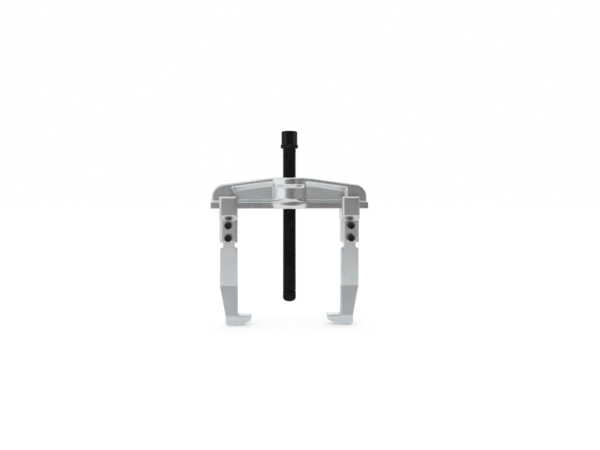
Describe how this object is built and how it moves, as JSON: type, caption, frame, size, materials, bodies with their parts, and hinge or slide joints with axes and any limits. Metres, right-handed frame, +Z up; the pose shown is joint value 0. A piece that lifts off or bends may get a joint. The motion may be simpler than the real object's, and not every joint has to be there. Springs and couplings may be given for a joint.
{
  "type": "gear puller",
  "caption": "Two-arm gear puller: forged crossbeam, threaded pressure spindle with swivel thrust tip, and hooked arms that slide along the beam.",
  "frame": {"origin": "on the spindle's axis, level with the soles of the hooks", "axes": "+Z up the spindle, X along the crossbeam, -Y towards the screw heads"},
  "size_m": [0.214, 0.0396, 0.2638],
  "materials": {
    "zinc_forging": "bright zinc-plated forging, slightly satin",
    "zinc_cheek": "bright zinc-plated, ground flats",
    "zinc_hook": "satin zinc-plated flat steel",
    "black_spindle": "oiled black phosphate on rolled thread",
    "black_fastener": "black oxide",
    "spring_steel": "oiled spring steel",
    "bearing_steel": "polished bearing ball"
  },
  "bodies": {
    "crossbeam": {"crossbeam": "zinc_forging"},
    "thrust_tip": {"thrust_tip": "black_spindle", "thrust_ball": "bearing_steel"},
    "spindle": {"spindle": "black_spindle", "tip_snap_ring": "spring_steel"},
    "left_arm": {"left_front_cheek": "zinc_cheek", "left_rear_cheek": "zinc_cheek", "left_hook": "zinc_hook", "left_upper_screw": "black_fastener", "left_lower_screw": "black_fastener", "left_upper_washer": "spring_steel", "left_lower_washer": "spring_steel", "left_upper_nut": "black_fastener", "left_lower_nut": "black_fastener"},
    "right_arm": {"right_front_cheek": "zinc_cheek", "right_rear_cheek": "zinc_cheek", "right_hook": "zinc_hook", "right_upper_screw": "black_fastener", "right_lower_screw": "black_fastener", "right_upper_washer": "spring_steel", "right_lower_washer": "spring_steel", "right_upper_nut": "black_fastener", "right_lower_nut": "black_fastener"}
  },
  "joints": [
    {"name": "spindle_feed", "type": "slide", "parent": "crossbeam", "child": "thrust_tip", "axis": [0, 0, 1], "range_m": [-0.038, 0.111]},
    {"name": "spindle_turn", "type": "hinge", "parent": "thrust_tip", "child": "spindle", "pos_m": [0, 0, 0.0633], "axis": [0, 0, 1], "range_deg": [-9121, 26641]},
    {"name": "left_arm_slide", "type": "slide", "parent": "crossbeam", "child": "left_arm", "axis": [-1, 0, 0], "range_m": [-0.042, 0.01]},
    {"name": "right_arm_slide", "type": "slide", "parent": "crossbeam", "child": "right_arm", "axis": [1, 0, 0], "range_m": [-0.042, 0.01]}
  ],
  "couplings": [
    {"joint": "spindle_turn", "follows": "spindle_feed", "rad_per_m": 4188.8}
  ]
}
